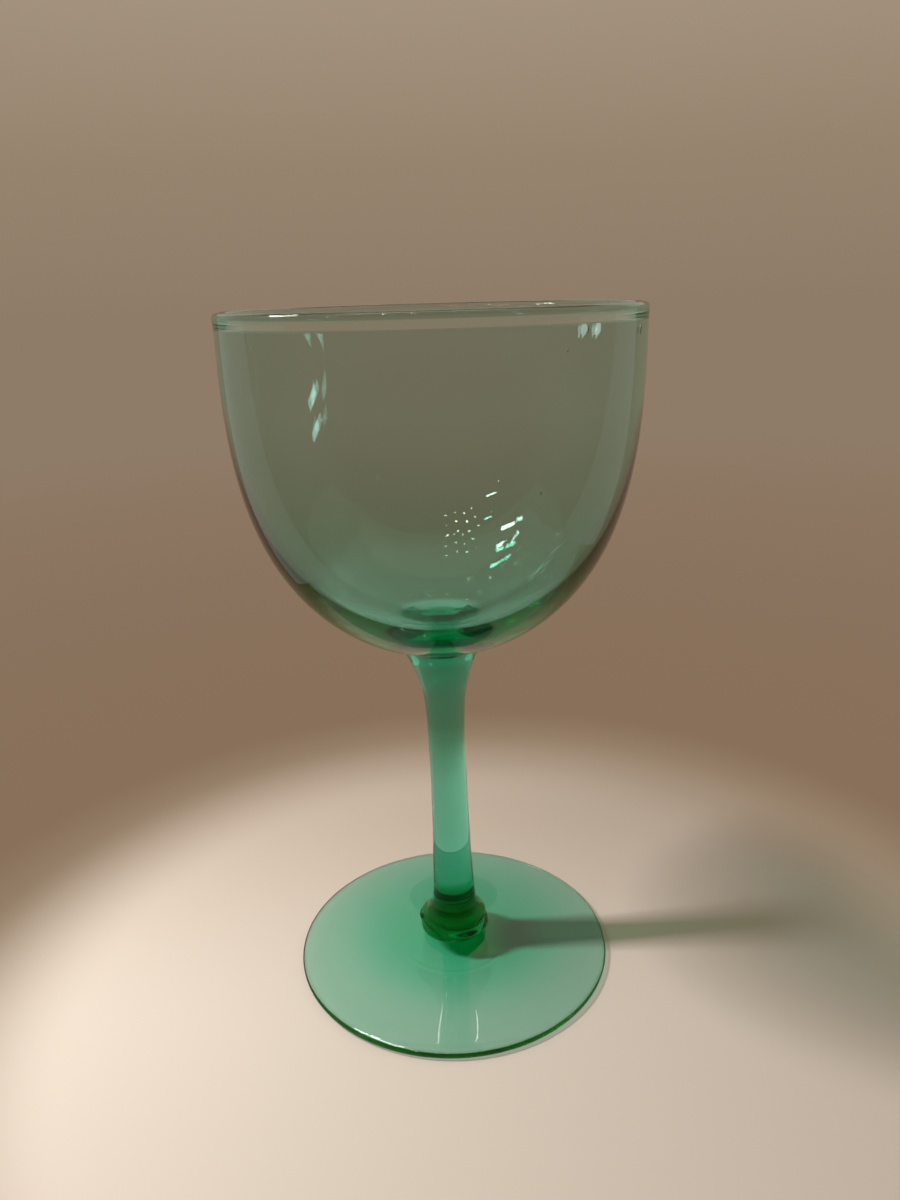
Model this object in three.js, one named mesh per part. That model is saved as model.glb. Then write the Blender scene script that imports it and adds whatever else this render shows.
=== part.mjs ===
// A stemmed wine glass of hand-made green glass, in millimetres, +Z up.
// The origin is the middle of the plane that the foot rests on, and everything turns about Z.
// Four gathers of glass meet face to face, one above the other: foot, collar, stem and bowl.
import * as THREE from 'three';

// Driving dimensions
const HEIGHT = 130; // table to lip
const BOWL_RADIUS = 36.2; // outside of the wall, where it stands upright
const BOWL_BOTTOM = 68.6; // where the bowl's outer curve would reach the axis
const WALL = 1.35; // bowl wall below the bead
const BOTTOM_THICKNESS = 4; // glass between the bowl's floor and its outer curve
const BEAD_WIDTH = 1.8; // fire-polished lip, in to out
const BEAD_HEIGHT = 2.1;
const BEAD_OVERHANG = 0.1; // how far the bead stands outside the wall
const FOOT_RADIUS = 32;
const FOOT_EDGE = 1.75; // thickness of the foot's rounded edge
const FOOT_CENTRE = 5.6; // height that the foot's upper slope aims at on the axis
const FOOT_SLOPE_POWER = 1.8; // above 1 the slope flattens towards the edge
const COLLAR_BASE = 4.5; // height of the face where the collar sits on the foot
const COLLAR_BASE_RADIUS = 5.5;
const STEM_BASE = 14; // height of the face between collar and stem
const STEM_BASE_RADIUS = 4.3;
const STEM_TOP = 68.7; // height of the face between stem and bowl
const STEM_TOP_RADIUS = 7.6;
const FILLET = 2; // width of the bevel where the bowl runs out onto the stem's face
const FUSE_GAP = 0.05; // clearance between two gathers that are fused on the real glass

// The rest ring and the hollow under the foot
const REST_INNER = 26.5;
const REST_OUTER = 30.2;
const HOLLOW_HEIGHT = 0.5; // rise of the underside at the axis
const PONTIL_RADIUS = 11;
const PONTIL_DEPTH = 0.5; // ground further into the underside
const EDGE_START = 1.2; // angle below level where the rounded edge leaves the rest ring
const BEAD_WRAP = 0.4; // angle by which the bead's round turns under itself on each side

// Outlines of the stem and the collar, as [radius, height] from bottom to top
const STEM_OUTLINE = [
  [STEM_BASE_RADIUS, STEM_BASE + FUSE_GAP],
  [4.05, 20],
  [3.75, 30],
  [3.6, 42],
  [3.68, 52],
  [4.1, 58.2],
  [5, 62.2],
  [6.1, 65.3],
  [STEM_TOP_RADIUS, STEM_TOP - FUSE_GAP],
];
const COLLAR_OUTLINE = [
  [COLLAR_BASE_RADIUS, COLLAR_BASE + FUSE_GAP],
  [6.45, 5.1],
  [6.75, 6],
  [6.35, 7.3],
  [6.5, 8.1],
  [6.2, 8.9],
  [5.3, 9.9],
  [4.6, 11],
  [4.35, 12],
  [4.45, 12.7],
  [STEM_BASE_RADIUS, STEM_BASE],
];

// Fineness
const BOWL_SEGMENTS = 48;
const FOOT_SEGMENTS = 48;
const STEM_SEGMENTS = 24;
const CURVE_STEPS = 14; // along each side of the bowl
const ROUND_STEPS = 4; // along the foot's edge, and half of those along the bead
const SLOPE_STEPS = 8; // along the foot's top and underside

const point = (radius, height) => new THREE.Vector2(radius, height);

// A closed solid of revolution about Z, from an outline that runs outside from bottom to top.
function revolve(outline, segments) {
  return new THREE.LatheGeometry(outline, segments).rotateX(Math.PI / 2);
}

// Part of an ellipse about a centre, from its start angle to its end angle.
function arc(centre, halfWidth, halfHeight, start, end, steps) {
  const points = [];
  for (let i = 0; i <= steps; i += 1) {
    const angle = start + ((end - start) * i) / steps;
    const radius = centre.x + halfWidth * Math.cos(angle);
    points.push(point(radius, centre.y + halfHeight * Math.sin(angle)));
  }
  return points;
}

// The bowl's two walls share one law: radius^2 / side^2 + (depth below the lip / depth)^3 = 1.
// It is upright at the lip and rounds into the bottom. The points run upwards from startRadius.
function cupCurve(sideRadius, lipHeight, depth, startRadius) {
  const points = [];
  const first = Math.asin(startRadius / sideRadius);
  for (let i = 0; i <= CURVE_STEPS; i += 1) {
    const angle = first + ((Math.PI / 2 - first) * i) / CURVE_STEPS;
    const drop = depth * Math.max(Math.cos(angle), 0) ** (2 / 3);
    points.push(point(sideRadius * Math.sin(angle), lipHeight - drop));
  }
  return points;
}

// The lip's round, from under its outside over the top to under its inside.
function beadCurve(lip) {
  const centre = point(BOWL_RADIUS + BEAD_OVERHANG - BEAD_WIDTH / 2, lip);
  const end = Math.PI + BEAD_WRAP;
  return arc(centre, BEAD_WIDTH / 2, BEAD_HEIGHT / 2, -BEAD_WRAP, end, 2 * ROUND_STEPS);
}

function bowl() {
  const lip = HEIGHT - BEAD_HEIGHT / 2;
  const bottomEdge = STEM_TOP_RADIUS + FILLET;
  const outside = cupCurve(BOWL_RADIUS, lip, lip - BOWL_BOTTOM, bottomEdge).slice(0, -1);
  const floorHeight = BOWL_BOTTOM + BOTTOM_THICKNESS;
  const inside = cupCurve(BOWL_RADIUS - WALL, lip, lip - floorHeight, 0).slice(0, -1).reverse();
  const seat = [point(0, STEM_TOP), point(STEM_TOP_RADIUS, STEM_TOP)];
  return revolve([...seat, ...outside, ...beadCurve(lip), ...inside], BOWL_SEGMENTS);
}

function smoothTurning(handPoints, steps) {
  const curve = new THREE.SplineCurve(handPoints.map(([radius, height]) => point(radius, height)));
  const points = curve.getPoints(steps);
  return [point(0, points[0].y), ...points, point(0, points[points.length - 1].y)];
}

function stem() {
  return revolve(smoothTurning(STEM_OUTLINE, 2 * (STEM_OUTLINE.length - 1)), STEM_SEGMENTS);
}

function collar() {
  return revolve(smoothTurning(COLLAR_OUTLINE, 2 * (COLLAR_OUTLINE.length - 1)), STEM_SEGMENTS);
}

// Height of the underside: flat at the rest ring, hollow inside it, and ground deeper at the pontil mark.
function undersideHeight(radius) {
  const hollow = HOLLOW_HEIGHT * (1 - (radius / REST_INNER) ** 2);
  const ground = PONTIL_DEPTH * Math.max(1 - (radius / PONTIL_RADIUS) ** 2, 0);
  return hollow + ground;
}

function topHeight(radius) {
  const slope = (1 - radius / FOOT_RADIUS) ** FOOT_SLOPE_POWER;
  return FOOT_EDGE + (FOOT_CENTRE - FOOT_EDGE) * slope;
}

function foot() {
  const half = FOOT_EDGE / 2;
  const outline = [];
  for (let i = 0; i <= SLOPE_STEPS; i += 1) {
    const radius = (REST_INNER * i) / SLOPE_STEPS;
    outline.push(point(radius, undersideHeight(radius)));
  }
  outline.push(point(REST_OUTER, 0));
  const edgeCentre = point(FOOT_RADIUS - half, half);
  outline.push(...arc(edgeCentre, half, half, -EDGE_START, Math.PI / 2, ROUND_STEPS));
  const slopeLength = FOOT_RADIUS - half - COLLAR_BASE_RADIUS;
  for (let i = 1; i < SLOPE_STEPS; i += 1) {
    const radius = FOOT_RADIUS - half - (slopeLength * i) / SLOPE_STEPS;
    outline.push(point(radius, topHeight(radius)));
  }
  outline.push(point(COLLAR_BASE_RADIUS, COLLAR_BASE), point(0, COLLAR_BASE));
  return revolve(outline, FOOT_SEGMENTS);
}

function piece(name, geometry, colour) {
  const material = new THREE.MeshStandardMaterial({ color: colour, roughness: 0.03, metalness: 0 });
  const mesh = new THREE.Mesh(geometry, material);
  mesh.name = name;
  return mesh;
}

const glass = new THREE.Group();
glass.add(piece('foot', foot(), 0x86b296));
glass.add(piece('collar', collar(), 0x0c4423));
glass.add(piece('stem', stem(), 0x3f9a72));
glass.add(piece('bowl', bowl(), 0x8fa48d));

export default glass;
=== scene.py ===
import math

import bpy
import numpy as np
from mathutils import Matrix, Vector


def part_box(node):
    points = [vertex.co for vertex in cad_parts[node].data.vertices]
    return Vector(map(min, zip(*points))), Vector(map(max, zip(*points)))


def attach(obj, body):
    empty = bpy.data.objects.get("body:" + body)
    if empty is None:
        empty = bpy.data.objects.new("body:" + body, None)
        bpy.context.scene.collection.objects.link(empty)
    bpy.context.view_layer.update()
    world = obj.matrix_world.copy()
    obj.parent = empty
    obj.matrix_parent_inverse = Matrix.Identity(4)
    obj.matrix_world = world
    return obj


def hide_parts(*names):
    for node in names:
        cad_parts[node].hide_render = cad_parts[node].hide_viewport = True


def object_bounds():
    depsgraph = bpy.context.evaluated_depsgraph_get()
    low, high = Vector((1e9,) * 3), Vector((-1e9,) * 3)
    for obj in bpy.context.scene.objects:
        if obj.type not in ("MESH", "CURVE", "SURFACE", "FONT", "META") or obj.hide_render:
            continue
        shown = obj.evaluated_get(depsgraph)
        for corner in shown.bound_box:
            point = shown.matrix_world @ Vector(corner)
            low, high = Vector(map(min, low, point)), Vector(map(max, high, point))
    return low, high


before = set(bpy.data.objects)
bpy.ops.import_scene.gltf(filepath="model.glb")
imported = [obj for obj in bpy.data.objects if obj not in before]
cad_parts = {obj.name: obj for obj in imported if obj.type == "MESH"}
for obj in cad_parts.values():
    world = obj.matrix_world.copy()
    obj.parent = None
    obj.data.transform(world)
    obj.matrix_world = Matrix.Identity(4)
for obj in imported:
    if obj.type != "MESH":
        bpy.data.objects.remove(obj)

# A stemmed wine glass of hand-made green glass, in metres. Four gathers of glass are fused in a
# line: foot, collar, stem and bowl. Each is a closed mesh turned about Z and then put slightly
# out of true, as hand work is. The faces where two gathers meet carry the attribute "joined",
# where the index of refraction falls to 1, so that light crosses them as it crosses fused glass.

MM = 0.001
CAD_LOW, CAD_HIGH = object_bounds()
_, FOOT_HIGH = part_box("foot")
COLLAR_LOW, COLLAR_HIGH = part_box("collar")
_, STEM_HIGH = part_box("stem")
BOWL_LOW, BOWL_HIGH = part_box("bowl")

# Bowl
BEAD_WIDTH = 1.8 * MM
BEAD_HEIGHT = 2.1 * MM
BEAD_OVERHANG = 0.1 * MM
BEAD_WRAP = 0.1  # angle by which the bead's round turns under itself on each side
WALL = 1.35 * MM
BOTTOM_RISE = -0.1 * MM  # from the stem's face to where the outer curve would reach the axis
BOTTOM_THICKNESS = 4.0 * MM
FILLET_WIDTH = 2.8 * MM  # over which the bowl's outside runs out to the stem
FILLET_STEEPNESS = 1.2  # slope of the bowl's outside where it meets the stem
WALL_SPACING = 0.55 * MM  # between the points of the wall's outline
LIP = BOWL_HIGH.z - BEAD_HEIGHT / 2
BOWL_RADIUS = BOWL_HIGH.x - BEAD_OVERHANG

# Joints
JOINT_GAP = 0.01 * MM  # less than between the CAD nodes, so the glass reaches a little past them
STEM_TOP_RADIUS = 7.6 * MM
STEM_BASE_RADIUS = 4.3 * MM
COLLAR_BASE_RADIUS = 5.5 * MM

# Outlines of the stem and the collar: radius and height, from the bottom up
STEM_OUTLINE = [
    (STEM_BASE_RADIUS, COLLAR_HIGH.z + JOINT_GAP),
    (4.05 * MM, 20 * MM),
    (3.75 * MM, 30 * MM),
    (3.6 * MM, 42 * MM),
    (3.68 * MM, 52 * MM),
    (4.1 * MM, 58.2 * MM),
    (5.0 * MM, 62.2 * MM),
    (6.1 * MM, 65.6 * MM),
    (STEM_TOP_RADIUS, STEM_HIGH.z),
]
COLLAR_OUTLINE = [
    (COLLAR_BASE_RADIUS, COLLAR_LOW.z),
    (6.45 * MM, 5.1 * MM),
    (6.75 * MM, 6 * MM),
    (6.35 * MM, 7.3 * MM),
    (6.5 * MM, 8.1 * MM),
    (6.2 * MM, 8.9 * MM),
    (5.3 * MM, 9.9 * MM),
    (4.6 * MM, 11 * MM),
    (4.36 * MM, 12 * MM),
    (4.38 * MM, 12.7 * MM),
    (STEM_BASE_RADIUS, COLLAR_HIGH.z),
]

# Foot
FOOT_RADIUS = FOOT_HIGH.x
FOOT_EDGE = 1.75 * MM
SHOULDER = 2.6 * MM  # width over which the foot's top rounds down to its brim
FOOT_CENTRE = 5.6 * MM  # height that the upper slope aims at on the axis
FOOT_SLOPE_POWER = 1.8
REST_INNER = 26.5 * MM
REST_OUTER = 30.2 * MM
HOLLOW_HEIGHT = 0.5 * MM
PONTIL_RADIUS = 11 * MM
PONTIL_DEPTH = 0.5 * MM
PONTIL_BURR = 0.07 * MM  # the raised edge that grinding leaves
BURR_WIDTH = 0.35 * MM

# How far the glass's own axis stands off the true one, in X: height and offset in millimetres
SWAY = [
    (0, 0.32),
    (5, 0.42),
    (12, 0.66),
    (25, 0.45),
    (37, 0.3),
    (50, 0.02),
    (60, -0.08),
    (68, -0.42),
    (95, -0.42),
    (129, -0.32),
]

# Fineness of the meshes
BOWL_SEGMENTS = 224
FOOT_SEGMENTS = 192
ROD_SEGMENTS = 128  # of the stem and the collar
SHARP_ANGLE = math.radians(35)

# Glass
GLASS_IOR = 1.5
JOINED_IOR = 1.0
WAVE_SCALE = 75.0
WAVE_DEPTH = 0.01 * MM
WEAR_ROUGHNESS = 0.08
WEAR_HEIGHT = 0.12 * MM  # above the table, where the wear ends
SCUFF_SCALE = 1800.0
SHADE_EDGE_POWER = 1.9  # how narrow the dark edges of the glass's shadow are
SHADE_MIDDLE = (0, 6 * MM)  # where the middle tint is strongest
SHADE_MIDDLE_FADE = (11 * MM, 30 * MM)  # distances from there over which it gives way

# Studio
FLOOR_REACH = 5.0
FLOOR_DROP = 0.05 * MM  # below the foot's resting plane, so that the two don't fight
# The floor's painted pool of light: lamp-lit paper inside it, a glow of painted dimness beyond
PAINTED_POOL_CENTRE = (0.004, -0.015)
PAINTED_POOL_RADIUS = 0.095
LAMP_HEIGHT = 0.256
LEFT, RIGHT, BACK, TOP = -0.11, 0.15, 0.08, LAMP_HEIGHT  # the reflected cards' planes
WARM_WHITE = (1, 0.97, 0.94)

# Camera
CAMERA_BACK = 163.4 * MM
CAMERA_SIDE = 1.49 * MM
CAMERA_ABOVE_LIP = 2.47 * MM
CAMERA_PITCH = math.radians(18.62)
CAMERA_ROLL = math.radians(1.62)
LENS, SENSOR = 27.6, 36


def smooth(x):
    x = min(max(x, 0.0), 1.0)
    return x * x * (3 - 2 * x)


def spline(points, steps):
    """A Catmull-Rom curve through given points, with steps samples in each stretch."""
    p = [np.array(q, float) for q in points]
    p = [2 * p[0] - p[1], *p, 2 * p[-1] - p[-2]]
    out = []
    for a, b, c, d in zip(p, p[1:], p[2:], p[3:]):
        square = 2 * a - 5 * b + 4 * c - d
        cube = 3 * b - a - 3 * c + d
        for i in range(steps):
            t = i / steps
            out.append(0.5 * (2 * b + (c - a) * t + square * t**2 + cube * t**3))
    return [tuple(q) for q in out] + [tuple(p[-2])]


def evenly(points, spacing):
    """The same outline with a point about every spacing along it."""
    p = np.array(points, float)
    along = np.concatenate([[0], np.cumsum(np.linalg.norm(np.diff(p, axis=0), axis=1))])
    where = np.linspace(0, along[-1], max(int(along[-1] / spacing), 2) + 1)
    return [(float(np.interp(s, along, p[:, 0])), float(np.interp(s, along, p[:, 1]))) for s in where]


def bubble(verts, faces, centre, half_sizes):
    """A small hollow in the glass: an ellipsoid whose faces look inwards, set square to the wall."""
    rings, sides = 8, 12
    first = len(verts)
    angle = math.atan2(centre[1], centre[0])
    outward, along, up = half_sizes
    verts.append((centre[0], centre[1], centre[2] - up))
    for i in range(1, rings):
        tilt = -math.pi / 2 + math.pi * i / rings
        for j in range(sides):
            turn = 2 * math.pi * j / sides
            out = outward * math.cos(tilt) * math.cos(turn)
            side = along * math.cos(tilt) * math.sin(turn)
            x = centre[0] + out * math.cos(angle) - side * math.sin(angle)
            y = centre[1] + out * math.sin(angle) + side * math.cos(angle)
            verts.append((x, y, centre[2] + up * math.sin(tilt)))
    verts.append((centre[0], centre[1], centre[2] + up))
    last = len(verts) - 1
    for j in range(sides):
        k = (j + 1) % sides
        faces.append((first, first + 1 + j, first + 1 + k))
        faces.append((last, last - sides + k, last - sides + j))
        for i in range(rings - 2):
            low = first + 1 + i * sides
            faces.append((low + j, low + sides + j, low + sides + k, low + k))


def in_joint(polygon, radius, height):
    """Whether a face is part of the flat fused disc of this radius at this height."""
    flat = abs(polygon.normal.z) > 0.9999
    near = abs(polygon.center.z - height) < 0.05 * MM
    away = math.hypot(polygon.center.x - sway(height), polygon.center.y)
    return flat and near and away < radius


def turned(name, outline, segments, out_of_true, joints, bubbles=()):
    """A closed mesh turned about Z from an outline that starts and ends on the axis.

    out_of_true(radius, height, angle) gives each point's place. joints are the radius and height of
    the fused faces. Each bubble is a centre and three half sizes: outwards, along the wall and up.
    """
    verts, faces, rings = [], [], []
    for radius, height in outline:
        if radius < 1e-9:
            rings.append([len(verts)])
            verts.append(out_of_true(0.0, height, 0.0))
        else:
            rings.append(list(range(len(verts), len(verts) + segments)))
            for i in range(segments):
                verts.append(out_of_true(radius, height, 2 * math.pi * i / segments))
    for low, high in zip(rings, rings[1:]):
        for i in range(segments):
            j = (i + 1) % segments
            if len(low) == 1:
                faces.append((low[0], high[j], high[i]))
            elif len(high) == 1:
                faces.append((low[i], low[j], high[0]))
            else:
                faces.append((low[i], low[j], high[j], high[i]))
    for centre, half_sizes in bubbles:
        bubble(verts, faces, centre, half_sizes)
    piece = add_mesh(name, verts, faces)
    joined = piece.data.attributes.new("joined", "FLOAT", "FACE")
    for polygon in piece.data.polygons:
        polygon.use_smooth = True
        joined.data[polygon.index].value = float(any(in_joint(polygon, *joint) for joint in joints))
    piece.data.set_sharp_from_angle(angle=SHARP_ANGLE)
    return piece


def add_mesh(name, verts, faces):
    mesh = bpy.data.meshes.new(name)
    mesh.from_pydata(verts, [], faces)
    made = bpy.data.objects.new(name, mesh)
    bpy.context.scene.collection.objects.link(made)
    return made


def sway(height):
    """The sway at any height, eased between the ones given."""
    h = height / MM
    if h <= SWAY[0][0]:
        return SWAY[0][1] * MM
    for (low, start), (high, end) in zip(SWAY, SWAY[1:]):
        if h < high:
            return (start + (end - start) * smooth((h - low) / (high - low))) * MM
    return SWAY[-1][1] * MM


def true_place(radius, height, angle):
    return (sway(height) + radius * math.cos(angle), radius * math.sin(angle), height)


def blown_place(radius, height, angle):
    """The bowl is blown freely, so it is a little oval, and its wall waves by a few hundredths."""
    oval = 0.10 * math.cos(2 * angle + 0.6)
    wave = 0.035 * math.sin(3 * angle + 1.0 + height / (30 * MM))
    wave += 0.02 * math.sin(5 * angle - height / (17 * MM))
    share = radius / BOWL_RADIUS * smooth((height - BOWL_LOW.z) / (20 * MM))
    return true_place(radius + (oval + wave) * MM * share, height, angle)


def folded_place(radius, height, angle):
    """The collar's glass was folded round while soft: a ridge runs down from left to right."""
    keep = smooth((height - COLLAR_LOW.z) / (0.9 * MM)) * smooth((COLLAR_HIGH.z - height) / (3.5 * MM))
    ridge_height = (6.9 - 1.15 * math.cos(angle + 0.35)) * MM
    ridge = 0.42 * math.exp(-(((height - ridge_height) / (0.55 * MM)) ** 2))
    groove = -0.30 * math.exp(-(((height - ridge_height - 1.15 * MM) / (0.4 * MM)) ** 2))
    around = math.remainder(angle - 3.25, 2 * math.pi)
    lump = 0.34 * math.exp(-((around / 0.28) ** 2) - ((height - 8.3 * MM) / (0.5 * MM)) ** 2)
    lean = 0.30 * math.cos(angle - 2.9)
    swell = 0.12 * math.sin(2 * angle + 1.9)
    bulge = radius + keep * (ridge + groove + lump + swell) * MM
    return true_place(bulge, height - keep * lean * MM, angle)


def spun_place(radius, height, angle):
    """The foot was spun and pressed: its brim rises and falls by a few hundredths."""
    share = smooth((radius - 20 * MM) / (12 * MM)) * smooth((height - 0.4 * MM) / (1 * MM))
    wave = 0.05 * math.sin(2 * angle + 0.8) + 0.03 * math.sin(5 * angle)
    return true_place(radius, height + wave * share * MM, angle)


def cup_curve(side_radius, depth, start_radius):
    """radius^2 / side^2 + (depth below the lip / depth)^3 = 1, upwards from start_radius."""
    steps = 400
    first = math.asin(start_radius / side_radius)
    points = []
    for i in range(steps):
        angle = first + (math.pi / 2 - first) * (i / steps) ** 0.8
        points.append((side_radius * math.sin(angle), LIP - depth * math.cos(angle) ** (2 / 3)))
    return points


def on_wall(angle, radius, height, half_sizes):
    """A bubble at an angle in degrees from +X, with all sizes in millimetres."""
    turn = math.radians(angle)
    place_at = (radius * MM * math.cos(turn), radius * MM * math.sin(turn), height * MM)
    return place_at, [size * MM for size in half_sizes]


BOWL_SEEDS = [
    on_wall(-27, 35.5, 126.0, (0.28, 0.5, 0.75)),
    on_wall(-52, 35.5, 126.6, (0.15, 0.22, 0.4)),
    on_wall(-58, 35.4, 124.0, (0.12, 0.2, 0.2)),
    on_wall(-64, 34.6, 104.0, (0.12, 0.15, 0.3)),
    on_wall(-118, 33.5, 97.0, (0.12, 0.15, 0.25)),
    on_wall(52, 34.9, 110.0, (0.12, 0.15, 0.2)),
    on_wall(-75, 12.0, 71.9, (0.15, 0.2, 0.15)),
    on_wall(-100, 8.5, 70.9, (0.15, 0.25, 0.15)),
]
COLLAR_SEEDS = [
    on_wall(-78, 5.3, 5.6, (0.14, 0.2, 0.14)),
    on_wall(-90, 5.4, 5.9, (0.12, 0.16, 0.12)),
    on_wall(-96, 5.2, 5.5, (0.12, 0.14, 0.12)),
    on_wall(-66, 5.3, 6.1, (0.12, 0.2, 0.14)),
    on_wall(-120, 4.6, 8.0, (0.14, 0.14, 0.2)),
]


def bowl_fillet(seat, outside):
    """From the edge of the stem's face up to the start of the outside curve, tangent to it."""
    start = np.array([STEM_TOP_RADIUS, seat])
    end, beyond = np.array(outside[0]), outside[1]
    slope = (beyond[1] - end[1]) / (beyond[0] - end[0])
    corner_x = seat - end[1] + slope * end[0] - FILLET_STEEPNESS * STEM_TOP_RADIUS
    corner_x /= slope - FILLET_STEEPNESS
    corner = np.array([corner_x, end[1] + slope * (corner_x - end[0])])
    points = []
    for t in np.linspace(0, 1, 13):
        points.append(tuple((1 - t) ** 2 * start + 2 * t * (1 - t) * corner + t * t * end))
    return points


def bead_round():
    """The fire-polished lip, from the outside over the top to the inside."""
    steps = 32
    centre = BOWL_HIGH.x - BEAD_WIDTH / 2
    points = []
    for i in range(steps + 1):
        angle = -BEAD_WRAP + (math.pi + 2 * BEAD_WRAP) * i / steps
        across = centre + BEAD_WIDTH / 2 * math.cos(angle)
        points.append((across, LIP + BEAD_HEIGHT / 2 * math.sin(angle)))
    return points


def build_bowl():
    seat = STEM_HIGH.z + JOINT_GAP
    bottom = STEM_HIGH.z + BOTTOM_RISE
    outside = cup_curve(BOWL_RADIUS, LIP - bottom, STEM_TOP_RADIUS + FILLET_WIDTH)
    inside = cup_curve(BOWL_RADIUS - WALL, LIP - bottom - BOTTOM_THICKNESS, 0.0)[::-1]
    bead = bead_round()
    blend = 0.4 * MM  # left free on each side for the bead to run into the wall
    wall_out = evenly(bowl_fillet(seat, outside) + outside[1:], WALL_SPACING)
    wall_out = [p for p in wall_out if p[1] < bead[0][1] - blend]
    wall_in = [p for p in evenly(inside, WALL_SPACING) if p[1] < bead[-1][1] - blend]
    wall_in[-1] = (0.0, wall_in[-1][1])
    floor = [(share * STEM_TOP_RADIUS, seat) for share in (0.0, 0.35, 0.7)]
    outline = floor + wall_out + bead + wall_in
    joints = [(STEM_TOP_RADIUS, seat)]
    return turned("bowl_glass", outline, BOWL_SEGMENTS, blown_place, joints, BOWL_SEEDS)


def capped(side):
    """An outline closed to the axis at both ends, with a ring part of the way in on each flat end."""
    (low_r, low_z), (high_r, high_z) = side[0], side[-1]
    return [(0.0, low_z), (low_r / 2, low_z), *side, (high_r / 2, high_z), (0.0, high_z)]


def build_stem():
    side = spline(STEM_OUTLINE, 12)
    return turned("stem_glass", capped(side), ROD_SEGMENTS, true_place, [side[0], side[-1]])


def build_collar():
    side = spline(COLLAR_OUTLINE, 8)
    joints = [side[0], side[-1]]
    return turned("collar_glass", capped(side), ROD_SEGMENTS, folded_place, joints, COLLAR_SEEDS)


def underside(radius):
    hollow = HOLLOW_HEIGHT * (1 - (radius / REST_INNER) ** 2)
    pontil = PONTIL_DEPTH * max(1 - (radius / PONTIL_RADIUS) ** 2, 0)
    burr = PONTIL_BURR * math.exp(-(((radius - PONTIL_RADIUS) / BURR_WIDTH) ** 2))
    return hollow + pontil + burr


def foot_top(radius):
    return FOOT_EDGE + (FOOT_CENTRE - FOOT_EDGE) * (1 - radius / FOOT_RADIUS) ** FOOT_SLOPE_POWER


def build_foot():
    half = FOOT_EDGE / 2
    seat = COLLAR_LOW.z - JOINT_GAP
    start = FOOT_RADIUS - SHOULDER
    under_steps, edge_steps, slope_steps = 100, 32, 60
    outline = []
    for i in range(under_steps + 1):
        radius = REST_INNER * i / under_steps
        outline.append((radius, underside(radius)))
    outline += [((REST_INNER + REST_OUTER) / 2, 0.0), (REST_OUTER, 0.0)]
    for i in range(1, edge_steps + 1):
        angle = -math.pi / 2 + math.pi * i / edge_steps
        inwards, upwards = (half, half) if angle < 0 else (SHOULDER, foot_top(start) - half)
        radius = FOOT_RADIUS - inwards + inwards * math.cos(angle)
        outline.append((radius, half + upwards * math.sin(angle)))
    for i in range(1, slope_steps):
        radius = start + (COLLAR_BASE_RADIUS - start) * i / slope_steps
        outline.append((radius, min(foot_top(radius), seat)))
    outline += [(COLLAR_BASE_RADIUS, seat), (COLLAR_BASE_RADIUS / 2, seat), (0.0, seat)]
    return turned("foot_glass", outline, FOOT_SEGMENTS, spun_place, [(COLLAR_BASE_RADIUS, seat)])


def linear(r, g, b):
    """Display colour, 0 to 255, as scene-linear."""
    return tuple(c / 255 / 12.92 if c < 10.3 else ((c / 255 + 0.055) / 1.055) ** 2.4 for c in (r, g, b))


def empty_material(name):
    material = bpy.data.materials.new(name)
    material.use_nodes = True
    material.node_tree.nodes.clear()
    return material, material.node_tree, material.node_tree.nodes.new("ShaderNodeOutputMaterial")


def node(tree, kind, **settings):
    made = tree.nodes.new(kind)
    for key, value in settings.items():
        setattr(made, key, value)
    return made


def eased(tree, source, start, end, low=0.0, high=1.0):
    """A number that goes smoothly from low to high while source goes from start to end."""
    ease = node(tree, "ShaderNodeMapRange", interpolation_type="SMOOTHSTEP")
    for name, value in (("From Min", start), ("From Max", end), ("To Min", low), ("To Max", high)):
        ease.inputs[name].default_value = value
    tree.links.new(source, ease.inputs["Value"])
    return ease.outputs["Result"]


def blended(tree, share, first, second):
    """A colour between two colours or sockets, by a share from 0 to 1."""
    mix = node(tree, "ShaderNodeMix", data_type="RGBA")
    tree.links.new(share, mix.inputs[0])
    for socket, colour in ((mix.inputs[6], first), (mix.inputs[7], second)):
        if isinstance(colour, tuple):
            socket.default_value = (*colour, 1)
        else:
            tree.links.new(colour, socket)
    return mix.outputs[2]


def noise(tree, position, scale, detail):
    texture = node(tree, "ShaderNodeTexNoise")
    texture.inputs["Scale"].default_value = scale
    texture.inputs["Detail"].default_value = detail
    tree.links.new(position, texture.inputs["Vector"])
    return texture.outputs[0]


def set_stops(ramp, stops):
    ramp.elements[0].position, ramp.elements[0].color = stops[0][0], (*stops[0][1], 1)
    ramp.elements[1].position, ramp.elements[1].color = stops[-1][0], (*stops[-1][1], 1)
    for position, colour in stops[1:-1]:
        ramp.elements.new(position).color = (*colour, 1)


def hand_made(tree, glass):
    """The slow waves of a hand-shaped surface, and the wear where the foot rubs on tables."""
    position = node(tree, "ShaderNodeNewGeometry").outputs["Position"]
    bump = node(tree, "ShaderNodeBump")
    bump.inputs["Distance"].default_value = WAVE_DEPTH
    tree.links.new(noise(tree, position, WAVE_SCALE, 1.0), bump.inputs["Height"])
    tree.links.new(bump.outputs[0], glass.inputs["Normal"])
    split = node(tree, "ShaderNodeSeparateXYZ")
    tree.links.new(position, split.inputs[0])
    touch = eased(tree, split.outputs["Z"], WEAR_HEIGHT, 0.0, 0.0, WEAR_ROUGHNESS)
    rough = node(tree, "ShaderNodeMath", operation="MULTIPLY")
    tree.links.new(touch, rough.inputs[0])
    tree.links.new(noise(tree, position, SCUFF_SCALE, 3.0), rough.inputs[1])
    tree.links.new(rough.outputs[0], glass.inputs["Roughness"])


def absorb(tree, output, colour, density):
    depth = tree.nodes.new("ShaderNodeVolumeAbsorption")
    depth.inputs["Color"].default_value = (*colour, 1)
    depth.inputs["Density"].default_value = density
    tree.links.new(depth.outputs[0], output.inputs["Volume"])


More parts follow.
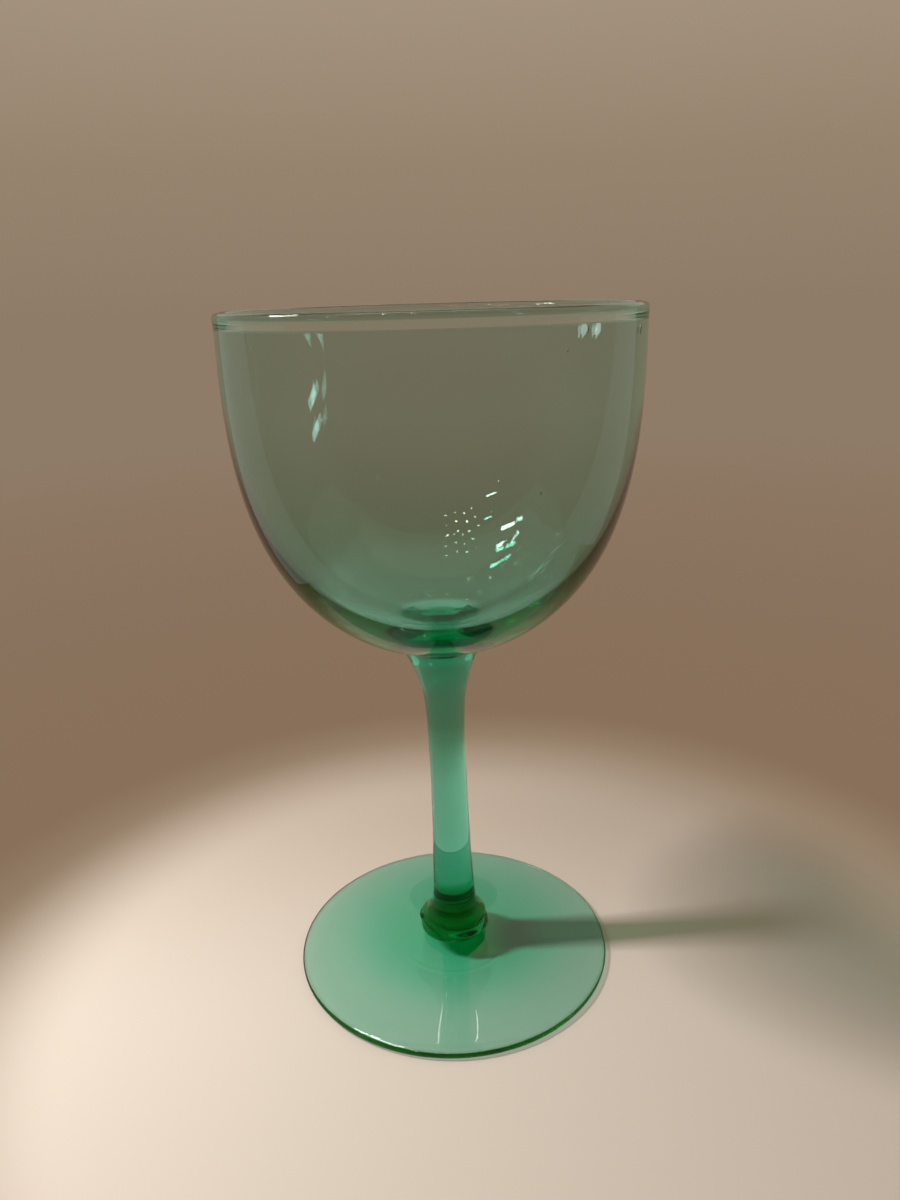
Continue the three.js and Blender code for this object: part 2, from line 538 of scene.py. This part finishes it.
def glass_material(name, tint, sheen, colour, density):
    """Clear glass coloured in its depth. colour and density are the Volume Absorption's own."""
    material, tree, output = empty_material(name)
    glass = tree.nodes.new("ShaderNodeBsdfPrincipled")
    glass.inputs["Base Color"].default_value = (*tint, 1)
    glass.inputs["Specular Tint"].default_value = (*sheen, 1)
    glass.inputs["Transmission Weight"].default_value = 1.0
    hand_made(tree, glass)
    joined = tree.nodes.new("ShaderNodeAttribute")
    joined.attribute_name = "joined"
    index = tree.nodes.new("ShaderNodeMapRange")
    index.inputs["To Min"].default_value = GLASS_IOR
    index.inputs["To Max"].default_value = JOINED_IOR
    tree.links.new(joined.outputs["Fac"], index.inputs["Value"])
    tree.links.new(index.outputs["Result"], glass.inputs["IOR"])
    tree.links.new(glass.outputs[0], output.inputs["Surface"])
    absorb(tree, output, colour, density)
    return material


def shade_material(name, passes, middle, colour, density):
    """What a lamp's rays meet in place of the glass: they go straight on, dimmed and coloured.

    passes is the share that each surface lets through far from the axis, and middle near it.
    Both fall to nothing at the glass's edges, seen from the lamp.
    """
    material, tree, output = empty_material(name)
    edge = node(tree, "ShaderNodeMath", operation="POWER")
    edge.inputs[1].default_value = SHADE_EDGE_POWER
    tree.links.new(node(tree, "ShaderNodeLayerWeight").outputs["Facing"], edge.inputs[0])
    from_middle = node(tree, "ShaderNodeVectorMath", operation="MULTIPLY_ADD")
    from_middle.inputs[1].default_value = (1, 1, 0)
    from_middle.inputs[2].default_value = (-SHADE_MIDDLE[0], -SHADE_MIDDLE[1], 0)
    tree.links.new(node(tree, "ShaderNodeNewGeometry").outputs["Position"], from_middle.inputs[0])
    away = node(tree, "ShaderNodeVectorMath", operation="LENGTH")
    tree.links.new(from_middle.outputs[0], away.inputs[0])
    through = blended(tree, eased(tree, away.outputs["Value"], *SHADE_MIDDLE_FADE), middle, passes)
    clear = node(tree, "ShaderNodeBsdfTransparent")
    tree.links.new(blended(tree, edge.outputs[0], through, (0, 0, 0)), clear.inputs["Color"])
    tree.links.new(clear.outputs[0], output.inputs["Surface"])
    absorb(tree, output, colour, density)
    return material


def shade(piece, passes, middle, colour, density):
    """Cycles lets no lamp shine through glass, so a twin that only shadow rays meet does it."""
    twin = bpy.data.objects.new(piece.name + "_shade", piece.data)
    bpy.context.scene.collection.objects.link(twin)
    twin.material_slots[0].link = "OBJECT"
    twin.material_slots[0].material = shade_material(twin.name, passes, middle, colour, density)
    twin.visible_camera = False
    twin.visible_diffuse = False
    twin.visible_glossy = False
    twin.visible_transmission = False
    piece.visible_shadow = False


def place(piece, node, material):
    piece.data.materials.append(material)
    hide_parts(node)
    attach(piece, "root")


def build(piece, node_name, tint, sheen, takes, passes, middle, depth=1.0):
    """Gives a piece its glass and its shadow.

    takes is the red, green and blue that each millimetre takes out of what crosses it, and depth how
    much of that its shadow has: curved glass gathers light into its own shadow.
    """
    most = max(takes)
    colour = [1 - c / most for c in takes]
    material = glass_material(node_name + "_green", tint, sheen, colour, most / MM)
    place(piece, node_name, material)
    shade(piece, passes, middle, colour, depth * most / MM)
    return piece


def painted_pool_edge(tree, position):
    """The distance from the middle of the painted pool of light, in pool radii."""
    pool = node(tree, "ShaderNodeMapping", vector_type="TEXTURE")
    pool.inputs["Location"].default_value = (*PAINTED_POOL_CENTRE, 0)
    pool.inputs["Scale"].default_value = (PAINTED_POOL_RADIUS, PAINTED_POOL_RADIUS, 1)
    tree.links.new(position, pool.inputs["Vector"])
    out = node(tree, "ShaderNodeVectorMath", operation="LENGTH")
    tree.links.new(pool.outputs[0], out.inputs[0])
    return out.outputs["Value"]


def stage_floor():
    """Pale paper, darker behind by painted shade, in a painted pool of light; beyond the pool the floor
    is a glow of fixed colours, painted dimness of the far floor.
    """
    corners = ((-1, -1), (1, -1), (1, 1), (-1, 1))
    verts = [(x * FLOOR_REACH, y * FLOOR_REACH, -FLOOR_DROP) for x, y in corners]
    floor = add_mesh("stage_floor", verts, [(0, 1, 2, 3)])
    material, tree, output = empty_material("floor_with_painted_pool")
    position = node(tree, "ShaderNodeNewGeometry").outputs["Position"]
    split = node(tree, "ShaderNodeSeparateXYZ")
    tree.links.new(position, split.inputs[0])
    # Painted shade: the paper's own colour in front, a darker painted colour behind the glass
    back = eased(tree, split.outputs["Y"], -0.03, 0.06)
    pale = node(tree, "ShaderNodeBsdfDiffuse")
    paper_and_painted_shade = blended(tree, back, (0.43, 0.385, 0.335), (0.33, 0.28, 0.235))
    tree.links.new(paper_and_painted_shade, pale.inputs["Color"])
    out = painted_pool_edge(tree, position)
    far_end = 8.0  # pool radii at which the far floor reaches the horizon's colour
    distance = node(tree, "ShaderNodeMath", operation="DIVIDE")
    distance.inputs[1].default_value = far_end
    tree.links.new(out, distance.inputs[0])
    # Painted dimness of the far floor: a glow, brown just past the pool, then a painted darker band of
    # shade, then the horizon's colour
    beyond = node(tree, "ShaderNodeValToRGB")
    tree.links.new(distance.outputs[0], beyond.inputs[0])
    stops = [(0.135, linear(155, 134, 111)), (0.17, linear(136, 112, 90)), (1.0, HORIZON)]
    set_stops(beyond.color_ramp, stops)
    far = node(tree, "ShaderNodeEmission")
    tree.links.new(beyond.outputs[0], far.inputs["Color"])
    # The painted pool's edge: lamp-lit paper inside, the glow outside
    mix = node(tree, "ShaderNodeMixShader")
    tree.links.new(eased(tree, out, 0.8, 1.2), mix.inputs[0])
    tree.links.new(pale.outputs[0], mix.inputs[1])
    tree.links.new(far.outputs[0], mix.inputs[2])
    tree.links.new(mix.outputs[0], output.inputs["Surface"])
    floor.data.materials.append(material)


def reflected_card(name, corners, radiance):
    """A bright card of the studio that shows only as a reflection in the glass."""
    card = add_mesh(name, corners, [(0, 1, 2, 3)])
    material, tree, output = empty_material(name)
    glow = node(tree, "ShaderNodeEmission")
    glow.inputs["Color"].default_value = (1, 0.9, 0.78, 1)
    glow.inputs["Strength"].default_value = radiance
    tree.links.new(glow.outputs[0], output.inputs["Surface"])
    card.data.materials.append(material)
    card.visible_camera = False
    card.visible_diffuse = False
    card.visible_transmission = False
    card.visible_shadow = False


def reflected_box():
    """The side walls and the table near the glass. Each wall's front edge leans back."""
    for name, x, low_front, high_front in (
        ("wall_left", LEFT, -0.027, 0.037),
        ("wall_right", RIGHT, -0.038, 0.07),
    ):
        corners = [(x, low_front, 0), (x, BACK, 0), (x, BACK, TOP), (x, high_front, TOP)]
        reflected_card(name, corners, 0.42)
    table = ((LEFT, -0.13), (RIGHT, -0.13), (RIGHT, 0.03), (LEFT, 0.03))
    reflected_card("table", [(x, y, -0.02 * MM) for x, y in table], 0.36)


def world_light():
    """A room that is brown at the floor and paler above, paler beside the glass and dimmer in front."""
    world = bpy.data.worlds.new("soft_room")
    world.use_nodes = True
    tree = world.node_tree
    tree.nodes.clear()
    output = node(tree, "ShaderNodeOutputWorld")
    background = node(tree, "ShaderNodeBackground")
    split = node(tree, "ShaderNodeSeparateXYZ")
    tree.links.new(node(tree, "ShaderNodeTexCoord").outputs["Generated"], split.inputs[0])
    height = node(tree, "ShaderNodeMapRange")
    height.inputs["From Min"].default_value = -1
    tree.links.new(split.outputs["Z"], height.inputs["Value"])
    ramp = node(tree, "ShaderNodeValToRGB")
    tree.links.new(height.outputs["Result"], ramp.inputs[0])
    stops = [
        (0.40, FAR_FLOOR),
        (0.49, HORIZON),
        (0.56, linear(151, 132, 111)),
        (0.64, linear(166, 149, 129)),
        (0.9, linear(180, 164, 145)),
    ]
    set_stops(ramp.color_ramp, stops)
    across = node(tree, "ShaderNodeMath", operation="ABSOLUTE")
    tree.links.new(split.outputs["X"], across.inputs[0])
    beside = eased(tree, across.outputs[0], 0.6, 1.0)
    walls = blended(tree, beside, ramp.outputs[0], (0.34, 0.29, 0.23))
    tree.links.new(walls, background.inputs["Color"])
    strength = eased(tree, split.outputs["Y"], 0.0, -0.6, 1.0, 0.4)
    tree.links.new(strength, background.inputs["Strength"])
    tree.links.new(background.outputs[0], output.inputs["Surface"])
    bpy.context.scene.world = world


def area_light(name, place_at, target, size, radiance, colour=(1, 0.93, 0.85), spin=0.0):
    """A rectangle that shines evenly, radiance being what a camera would see of it."""
    data = bpy.data.lights.new(name, "AREA")
    data.shape = "RECTANGLE"
    data.size, data.size_y = size
    data.energy = radiance * size[0] * size[1] * math.pi
    data.color = colour
    light = bpy.data.objects.new(name, data)
    light.location = place_at
    aim = np.array(target) - np.array(place_at)
    turn = Vector(aim).to_track_quat("-Z", "Y").to_matrix().to_4x4()
    light.matrix_world = Matrix.Translation(place_at) @ turn @ Matrix.Rotation(spin, 4, "Z")
    bpy.context.scene.collection.objects.link(light)
    return light


def glint(*settings):
    """A small lamp that is seen in the glass but adds no light to the floor."""
    lamp = area_light(*settings)
    lamp.visible_diffuse = False
    return lamp


def ceiling_glint(name, x, y, size, radiance, colour=WARM_WHITE, spin=0.0):
    """A glint lamp in the ceiling that faces straight down."""
    return glint(name, (x, y, LAMP_HEIGHT), (x, y, 0), size, radiance, colour, spin)


def lights(foot):
    """The key lamp throws the shadow, the ceiling fills it, and the rest are seen as reflections."""
    place_at, target = (-0.21, -0.012, LAMP_HEIGHT), (0, 0, 0.04)
    key = area_light("key", place_at, target, (0.075, 0.026), 283, (1, 0.975, 0.95), math.pi / 2)
    key.visible_glossy = False
    key.visible_transmission = False
    ceiling = area_light("ceiling", (0.02, 0.27, 0.262), (0.02, 0.27, 0), (0.8, 0.62), 0.32)
    ceiling.visible_camera = False
    ceiling_glint("tube_a", -0.16, 0.005, (0.073, 0.011), 40, spin=-0.31)
    ceiling_glint("tube_b", -0.13, 0.039, (0.062, 0.011), 40, spin=-0.16)
    ceiling_glint("tube_c", -0.152, -0.116, (0.04, 0.005), 40)
    for i in range(4):
        for j in range(3):
            x, y = -0.08 + 0.021 * i, -0.095 + 0.026 * j + 0.006 * (i % 2)
            ceiling_glint(f"spark_{i}_{j}", x, y, (0.004, 0.004), 40, (1, 0.75, 0.5))
    ceiling_glint("strip_left", -0.012, 0.185, (0.0008, 0.031), 7, (1, 1, 1), -0.097)
    ceiling_glint("strip_right", 0.0127, 0.188, (0.0008, 0.031), 7, (1, 1, 1), 0.219)
    for name, z in (("window_a", 0.076), ("window_b", 0.046)):
        target = (-0.017, -0.032, 0.118)
        glint(name, (-0.28, -0.164, z), target, (0.028, 0.01), 5, (0.75, 0.95, 1.0), 0.5)
    for name, y in (("window_c", -0.07), ("window_d", -0.02)):
        target = (0.022, -0.028, 0.128)
        glint(name, (0.3, y, 0.115), target, (0.02, 0.006), 5, (0.8, 0.95, 1.0), 0.2)
    # The bright line on the foot's front edge, from a lamp that shines on nothing but the foot
    only_foot = bpy.data.collections.new("only_foot")
    only_foot.objects.link(foot)
    edge_glow = ceiling_glint("edge_glow", -0.132, -0.01, (0.11, 0.05), 12, spin=-0.576)
    edge_glow.light_linking.receiver_collection = only_foot


def camera():
    data = bpy.data.cameras.new("camera")
    data.lens = LENS
    data.sensor_width = SENSOR
    data.clip_start = 0.01
    view = bpy.data.objects.new("camera", data)
    turn = Matrix.Rotation(math.pi / 2 - CAMERA_PITCH, 4, "X") @ Matrix.Rotation(-CAMERA_ROLL, 4, "Z")
    stand = Matrix.Translation((CAMERA_SIDE, -CAMERA_BACK, CAD_HIGH.z + CAMERA_ABOVE_LIP))
    view.matrix_world = stand @ turn
    bpy.context.scene.collection.objects.link(view)
    bpy.context.scene.camera = view


def light_paths(scene):
    """Thick round glass needs many bounces, and a high clamp keeps its lamp reflections white."""
    scene.view_settings.view_transform = "Standard"
    scene.cycles.max_bounces = 48
    scene.cycles.transmission_bounces = 48
    scene.cycles.glossy_bounces = 32
    scene.cycles.transparent_max_bounces = 32
    scene.cycles.caustics_refractive = False
    scene.cycles.caustics_reflective = False
    scene.cycles.sample_clamp_indirect = 40


# Surface tints of the glass, and what its shadows let through
CLEAR = (1, 1, 1)
THIN = (0.97, 0.9, 0.92)
DIM = (0.3, 0.6, 0.46)
DEEP = (0.2, 0.75, 0.5)
CENTRE = (0.6, 0.96, 0.88)

# The studio's far colours
FAR_FLOOR = linear(138, 114, 92)
HORIZON = linear(143, 124, 104)

build(build_bowl(), "bowl", THIN, (0.72, 1, 0.84), (0.184, 0.029, 0.062), THIN, THIN)
build(build_stem(), "stem", CLEAR, (0.5, 0.95, 0.75), (0.215, 0.038, 0.074), DIM, DIM, 0.7)
# The collar takes out more per millimetre than the other pieces: partly its own deeper green, partly
# painted shade for the dark surroundings seen through its curves
build(build_collar(), "collar", CLEAR, (0.25, 0.85, 0.45), (0.75, 0.15, 0.34), DEEP, DEEP, 0.25)
foot = build(build_foot(), "foot", CLEAR, CLEAR, (0.195, 0.024, 0.076), CLEAR, CENTRE)
stage_floor()
world_light()
reflected_box()
lights(foot)
camera()
light_paths(bpy.context.scene)
